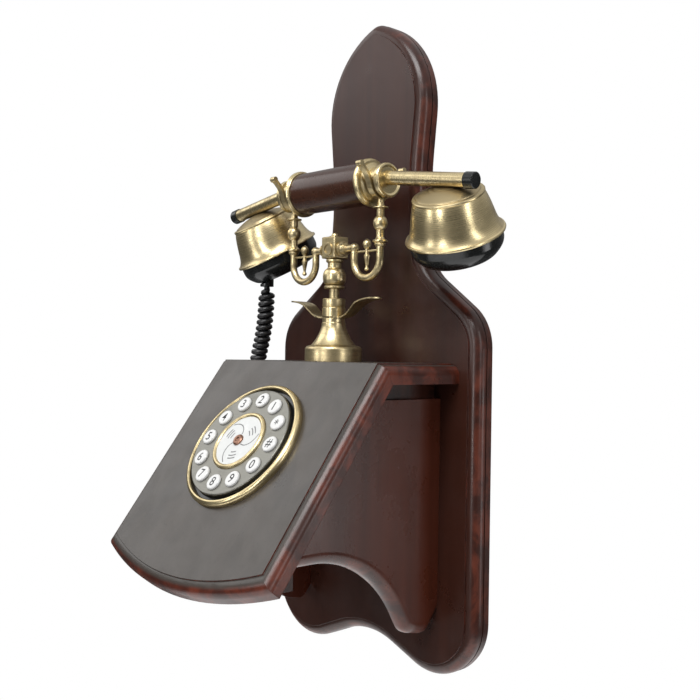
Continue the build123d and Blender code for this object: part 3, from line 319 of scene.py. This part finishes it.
# ---------------------------------------------------------------- tones and finishes
# Wood has a tone for its face and one for its edges, and metal a bright and a dark one.
PANEL_TONE, PANEL_EDGE = (0.054, 0.045, 0.038), (0.13, 0.025, 0.011)
BOARD_TONE, BOARD_EDGE = (0.040, 0.012, 0.007), (0.11, 0.026, 0.014)
SIDE_TONE, SIDE_EDGE = (0.075, 0.017, 0.008), (0.12, 0.026, 0.012)
RAIL_TONE, RAIL_EDGE = (0.055, 0.016, 0.010), (0.08, 0.022, 0.012)
GRIP_TONE = (0.060, 0.020, 0.010)
BRASS_BRIGHT, BRASS_DARK = (0.80, 0.66, 0.38), (0.17, 0.125, 0.07)
PLATE_BRIGHT, PLATE_DARK = (0.24, 0.235, 0.21), (0.15, 0.14, 0.12)
COPPER_BRIGHT, COPPER_DARK = (0.36, 0.20, 0.14), (0.12, 0.07, 0.05)
BLACK_TONE, CORD_TONE, INK_TONE = (0.008, 0.009, 0.009), (0.012, 0.012, 0.013), (0.012, 0.012, 0.014)
WHITE_TONE, CARD_TONE, PRINT_TONE = (0.62, 0.62, 0.61), (0.62, 0.63, 0.62), (0.16, 0.16, 0.16)
ZINC_TONE, CAPSULE_TONE = (0.56, 0.56, 0.57), (0.62, 0.62, 0.6)
# A painted dark reflection on each cup's dome: the heights along the mouth axis over which the brass is
# darkened, and how far
DOME_PAINTED_REFLECTION = (0.0125, 0.0095, 0.0, 0.6)
COLUMN_FOOT = (0, COLUMN_Y, 0)
ALONG_X, ALONG_Y, ALONG_Z = (1, 0, 0), (0, 1, 0), (0, 0, 1)
KEY_SIGNS = {"hash": "#", "star": "*", **{str(n): str(n) for n in (1, 2, 3, 4, 5, 6, 7, 8, 9, 0)}}
finishes = {}


def finish(material, *names):
    """Give one material to the carried-over nodes with these names."""
    finishes.update(dict.fromkeys(names, material))


finish(wood("wood_front", "Z", tuple(DIAL_OUT), PANEL_TONE, PANEL_EDGE), "front_panel")
finish(wood("wood_shelf", "X", ALONG_Z, PANEL_TONE, PANEL_EDGE), "shelf")
finish(wood("wood_board", "Z", ALONG_Y, BOARD_TONE, BOARD_EDGE), "backboard")
finish(wood("wood_grip", "X", ALONG_Z, GRIP_TONE, GRIP_TONE, 0.24, 0.3), "handset_grip")
finish(brass("brass_plate", DIAL_MID, DIAL_UP, PLATE_BRIGHT, PLATE_DARK, 0.36, 0.62), "dial_plate")
finish(brass("copper_cap", DIAL_MID, DIAL_OUT, COPPER_BRIGHT, COPPER_DARK, 0.34, 0.5), "dial_centre_cap")
finish(moulded("card_white", CARD_TONE, 0.42, 0.1), "dial_card")
finish(printed_board("board_keys"), "keypad_board")
finish(printed_board("board_green"), "circuit_board")
finish(wood("wood_side", "Z", ALONG_X, SIDE_TONE, SIDE_EDGE, 0.3), "side_board_left", "side_board_right")
finish(wood("wood_rail", "X", ALONG_Y, RAIL_TONE, RAIL_EDGE, 0.34), "shelf_rails", "bottom_rail",
       "bottom_board")
finish(brass("brass_column", COLUMN_FOOT, ALONG_Z, BRASS_BRIGHT, BRASS_DARK), "cradle_base", "cradle_collar",
       "cradle_stem", "cradle_block", "cradle_arm_left", "cradle_arm_right", "arm_bars", "arm_pendants")
finish(brass("brass_cross", GRIP_MID, ALONG_X, BRASS_BRIGHT, BRASS_DARK, 0.27, 0.55), "handset_end_rings",
       "handset_bosses", "handset_tubes")
finish(brass("brass_strap", COLUMN_FOOT, ALONG_Y, BRASS_BRIGHT, BRASS_DARK, 0.3, 0.5), "cradle_wings",
       "cradle_fork_left", "cradle_fork_right")
for name, side in {"receiver_cup": 1, "transmitter_cup": -1}.items():
    middle, mouth = cup_line(side)
    finish(brass("brass_" + name, middle, mouth, BRASS_BRIGHT, BRASS_DARK, 0.28, 0.56, DOME_PAINTED_REFLECTION), name)
finish(brass("brass_dial", DIAL_MID, DIAL_OUT, BRASS_BRIGHT, BRASS_DARK, 0.28, 0.55), "dial_bezel",
       "dial_inner_ring")
finish(moulded("plastic_black", BLACK_TONE, 0.2, 0.1), "dial_housing", "receiver_cap", "transmitter_cap",
       "tube_caps", "cord_gland", "handset_jack", "line_jack", "cord_plug", "hook_switch", "ringer")
finish(moulded("plastic_white", WHITE_TONE, 0.22, 0.4), *("button_" + key for key in KEY_SIGNS))
finish(metal("steel_zinc", ZINC_TONE, 0.32), "hanger_plates", "case_screws", "cradle_spring")
finish(metal("metal_capsule", CAPSULE_TONE, 0.38), "receiver_capsule", "transmitter_capsule")
vinyl = moulded("vinyl_cord", CORD_TONE, 0.34, 0.1)
finish(vinyl, "curly_cord")

for name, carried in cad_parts.items():
    carried.data.materials.clear()
    carried.data.materials.append(finishes[name])


# ---------------------------------------------------------------- pieces made here
def add_mesh(name, vertices, faces, material, smooth=True):
    """A new piece from its vertices and faces, in one material and one slot."""
    mesh = bpy.data.meshes.new(name)
    mesh.from_pydata([tuple(v) for v in vertices], [], faces)
    mesh.update()
    for polygon in mesh.polygons:
        polygon.use_smooth = smooth
    mesh.materials.append(material)
    piece = bpy.data.objects.new(name, mesh)
    bpy.context.scene.collection.objects.link(piece)
    return piece


def frames_along(points):
    """A point, an across and an up direction for each point of a line, with no twist along it."""
    made, across = [], None
    for i, point in enumerate(points):
        ahead = (points[min(i + 1, len(points) - 1)] - points[max(i - 1, 0)]).normalized()
        across = ahead.orthogonal() if across is None else across
        across = (across - ahead * across.dot(ahead)).normalized()
        made.append((point, across, ahead.cross(across)))
    return made


def sweep(name, points, radius, sides, material):
    """A round closed tube along points."""
    vertices, faces = [], []
    for point, across, up in frames_along(points):
        for k in range(sides):
            turn = tau * k / sides
            vertices.append(point + across * (radius * cos(turn)) + up * (radius * sin(turn)))
    for i in range(len(points) - 1):
        for k in range(sides):
            a, b = i * sides + k, i * sides + (k + 1) % sides
            faces.append((a, b, b + sides, a + sides))
    last = (len(points) - 1) * sides
    faces.append(tuple(range(sides))[::-1])
    faces.append(tuple(last + k for k in range(sides)))
    return add_mesh(name, vertices, faces, material)


def even_points(points, step):
    """The same line at equal steps."""
    made, left = [points[0].copy()], step
    for a, b in zip(points, points[1:]):
        run, gone = (b - a).length, 0.0
        while run - gone >= left:
            gone += left
            made.append(a.lerp(b, gone / run))
            left = step
        left -= run - gone
    return made


# ---------------------------------------------------------------- curly cord
WIRE = 0.0050
CURL_RADIUS = 0.0051
CURL_PITCH = 0.0055
CURL_POINTS = 14
WIRE_SIDES = 8
STRAIGHT_STEPS, EASE_STEPS = 4, 18
ROUTE_ORDER, ROUTE_STEPS = 3, 24
CORD_POINTS = [
    (-0.1030, -0.0465, 0.0660), (-0.1030, -0.0465, 0.0340), (-0.1140, -0.0500, -0.0100),
    (-0.1150, -0.0420, -0.0500), (-0.1140, -0.0340, -0.0920), (-0.1125, -0.0310, -0.1327),
    (-0.1062, -0.0562, -0.1587), (-0.0973, -0.0918, -0.1587), (-0.0910, -0.1170, -0.1327),
    (-0.0910, -0.1170, -0.0960),
]


def smooth_route(points):
    """The points of a smooth curve that has these as its control points."""
    data = bpy.data.curves.new("cord_route", "CURVE")
    data.dimensions = "3D"
    data.resolution_u = ROUTE_STEPS
    spline = data.splines.new("NURBS")
    spline.points.add(len(points) - 1)
    for control, point in zip(spline.points, points):
        control.co = (*point, 1)
    spline.order_u = ROUTE_ORDER
    spline.use_endpoint_u = True
    route = bpy.data.objects.new("cord_route", data)
    mesh = bpy.data.meshes.new_from_object(route)
    line = [v.co.copy() for v in mesh.vertices]
    bpy.data.objects.remove(route)
    return line


def curly_cord():
    """One wire wound round the route and straight near both ends, stretched between case and handset."""
    line = even_points(smooth_route(CORD_POINTS), CURL_PITCH / CURL_POINTS)
    total = len(line) - 1
    turns = []
    for i, (point, across, up) in enumerate(frames_along(line)):
        inward = min(i, total - i) - STRAIGHT_STEPS
        grow = max(0.0, min(1.0, inward / EASE_STEPS))
        reach = CURL_RADIUS * grow * grow * (3 - 2 * grow)
        angle = tau * i / CURL_POINTS
        turns.append(point + across * (reach * cos(angle)) + up * (reach * sin(angle)))
    cord = sweep("handset_cord", turns, WIRE / 2, WIRE_SIDES, vinyl)
    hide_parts("curly_cord")
    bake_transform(cord)


curly_cord()


# ---------------------------------------------------------------- dial signs and card
ink = moulded("ink_black", INK_TONE, 0.4, 0.0)
print_grey = moulded("ink_grey", PRINT_TONE, 0.5, 0.0)
DIAL_TURN = Matrix((Vector((1, 0, 0)), DIAL_UP, DIAL_OUT)).transposed()
SIGN_HEIGHT, SIGN_DEPTH, SIGN_SWELL = 0.0072, 0.00004, 0.00006
FONT_SIZE = 1.4
KEY_ANGLES = {"hash": 0, "star": 30, "0": 330, **{str(n): 30 + 30 * n for n in range(1, 10)}}


def dial_place(x, up, out):
    """The point this far across, up and out of the dial's middle."""
    return DIAL_MID + Vector((x, 0, 0)) + DIAL_UP * up + DIAL_OUT * out


def key_sign(key, text):
    """The sign on one key, as a thin raised mesh that faces out of the dial and rides the key."""
    name, angle = "sign_" + key, radians(KEY_ANGLES[key])
    centre = dial_place(KEY_CIRCLE * cos(angle), KEY_CIRCLE * sin(angle), KEY_TOP)
    data = bpy.data.curves.new(name, "FONT")
    data.body = text
    data.align_x, data.align_y = "CENTER", "CENTER"
    data.size = SIGN_HEIGHT * FONT_SIZE
    data.extrude = SIGN_DEPTH
    data.offset = SIGN_SWELL
    letter = bpy.data.objects.new(name + "_text", data)
    mesh = bpy.data.meshes.new_from_object(letter)
    bpy.data.objects.remove(letter)
    xs, ys = [v.co.x for v in mesh.vertices], [v.co.y for v in mesh.vertices]
    middle = Vector(((min(xs) + max(xs)) / 2, (min(ys) + max(ys)) / 2, 0))
    for v in mesh.vertices:
        v.co = centre + DIAL_TURN @ (v.co - middle)
    mesh.materials.clear()
    mesh.materials.append(ink)
    piece = bpy.data.objects.new(name, mesh)
    bpy.context.scene.collection.objects.link(piece)
    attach(piece, "key_" + key)


for key, text in KEY_SIGNS.items():
    key_sign(key, text)


SPOKES = 3
SPOKE_IN, SPOKE_RUN, SPOKE_STEPS, SPOKE_HALF = 0.0055, 0.0145, 12, 0.0004
SPOKE_START, SPOKE_SWEEP, SPOKE_BEND = radians(90), 0.9, 1.5
BAR_MIDDLE, BAR_HALF = radians(150) + 0.2, 0.00045
BARS = ((0.0105, 0.26), (0.0135, 0.3), (0.0160, 0.24))
PRINT_RISE = 0.00005


def card_curves():
    """Three thin curved spokes and three groups of short bars, printed on the card as plain ornament."""
    vertices, faces = [], []

    def strip(points, half):
        """A flat ribbon along points, half as wide to each side."""
        first = len(vertices)
        for i, point in enumerate(points):
            ahead = points[min(i + 1, len(points) - 1)] - points[max(i - 1, 0)]
            side = Vector((-ahead.y, ahead.x)).normalized() * half
            for edge in (point + side, point - side):
                vertices.append(dial_place(edge.x, edge.y, CARD_TOP + PRINT_RISE))
            if i:
                base = first + 2 * i
                faces.append((base - 2, base - 1, base + 1, base))

    for k in range(SPOKES):
        spoke = []
        for i in range(SPOKE_STEPS + 1):
            part = i / SPOKE_STEPS
            reach = SPOKE_IN + SPOKE_RUN * part
            angle = tau * k / SPOKES + SPOKE_START + SPOKE_SWEEP * part ** SPOKE_BEND
            spoke.append(Vector((reach * cos(angle), reach * sin(angle))))
        strip(spoke, SPOKE_HALF)
    for k in range(SPOKES):
        for reach, half_angle in BARS:
            middle = tau * k / SPOKES + BAR_MIDDLE
            arc = [Vector((cos(middle + t * half_angle), sin(middle + t * half_angle))) * reach
                   for t in (-1, -0.6, -0.2, 0.2, 0.6, 1)]
            strip(arc, BAR_HALF)
    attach(add_mesh("card_ornament", vertices, faces, print_grey, False), "case")


card_curves()


# ---------------------------------------------------------------- floor, light and sky
FLOOR_SIZE, FLOOR_DOWN, FLOOR_GLOW = 3, -1.3, 0.45
LIGHT_TARGET = (0, -0.05, 0)
LIGHTS = (
    ("top_box", (0.5, -1.2, 1.5), LIGHT_TARGET, (1.2, 0.8), 26),
    ("left_box", (-1.65, -1.0, 1.2), LIGHT_TARGET, (1.8, 1.2), 10),
    ("low_box", (-0.75, -1.9, 0.1), LIGHT_TARGET, (0.35, 0.9), 4),
    ("front_box", (0.35, -2.2, 0.3), LIGHT_TARGET, (0.3, 1.5), 12),
    ("right_box", (2.0, -0.2, 0.5), LIGHT_TARGET, (0.3, 1.3), 6),
    ("glow_box", (1.6, 0.9, -0.3), (0, -0.05, -0.1), (0.5, 0.6), 3),
)
SKY_STOPS = ((0.0, 0.10), (0.45, 0.08), (0.55, 0.12), (0.72, 0.35), (1.0, 0.80))


def add_floor():
    """A plain pale floor, well below the telephone."""
    bpy.ops.mesh.primitive_plane_add(size=FLOOR_SIZE, location=(0, 0, FLOOR_DOWN))
    floor = bpy.context.object
    floor.name = "floor"
    g = Graph("floor_pale")
    tone = g.mix(g.noise(g.place, 3.0, 3), (0.93, 0.93, 0.93), (0.95, 0.95, 0.95))
    g.set(Base_Color=tone, Roughness=0.85, Emission_Color=(1, 1, 1), Emission_Strength=FLOOR_GLOW)
    floor.data.materials.append(g.material)


def add_light(name, place, target, size, power):
    """A soft rectangular light that faces its target."""
    data = bpy.data.lights.new(name, "AREA")
    data.shape = "RECTANGLE"
    data.size, data.size_y = size
    data.energy = power
    light = bpy.data.objects.new(name, data)
    light.location = place
    light.rotation_euler = (Vector(target) - Vector(place)).to_track_quat("-Z", "Y").to_euler()
    bpy.context.scene.collection.objects.link(light)


def add_sky():
    """A sky that lights the scene darkest at the horizon, and is plain white to the camera."""
    world = bpy.data.worlds.new("studio")
    bpy.context.scene.world = world
    world.use_nodes = True
    nodes, links = world.node_tree.nodes, world.node_tree.links
    nodes.clear()
    coords = nodes.new("ShaderNodeTexCoord")
    split = nodes.new("ShaderNodeSeparateXYZ")
    links.new(coords.outputs["Generated"], split.inputs[0])
    ramp = nodes.new("ShaderNodeValToRGB")
    while len(ramp.color_ramp.elements) < len(SKY_STOPS):
        ramp.color_ramp.elements.new(0.5)
    for element, (at, value) in zip(ramp.color_ramp.elements, SKY_STOPS):
        element.position, element.color = at, (value, value, value, 1)
    height = nodes.new("ShaderNodeMapRange")
    height.inputs[1].default_value, height.inputs[2].default_value = -1, 1
    links.new(split.outputs["Z"], height.inputs[0])
    links.new(height.outputs[0], ramp.inputs[0])
    lit, seen = nodes.new("ShaderNodeBackground"), nodes.new("ShaderNodeBackground")
    links.new(ramp.outputs[0], lit.inputs[0])
    seen.inputs[0].default_value = (1, 1, 1, 1)
    rays, choice = nodes.new("ShaderNodeLightPath"), nodes.new("ShaderNodeMixShader")
    links.new(rays.outputs["Is Camera Ray"], choice.inputs[0])
    links.new(lit.outputs[0], choice.inputs[1])
    links.new(seen.outputs[0], choice.inputs[2])
    links.new(choice.outputs[0], nodes.new("ShaderNodeOutputWorld").inputs[0])


add_floor()
for light in LIGHTS:
    add_light(*light)
add_sky()
bpy.context.scene.view_settings.view_transform = "Standard"
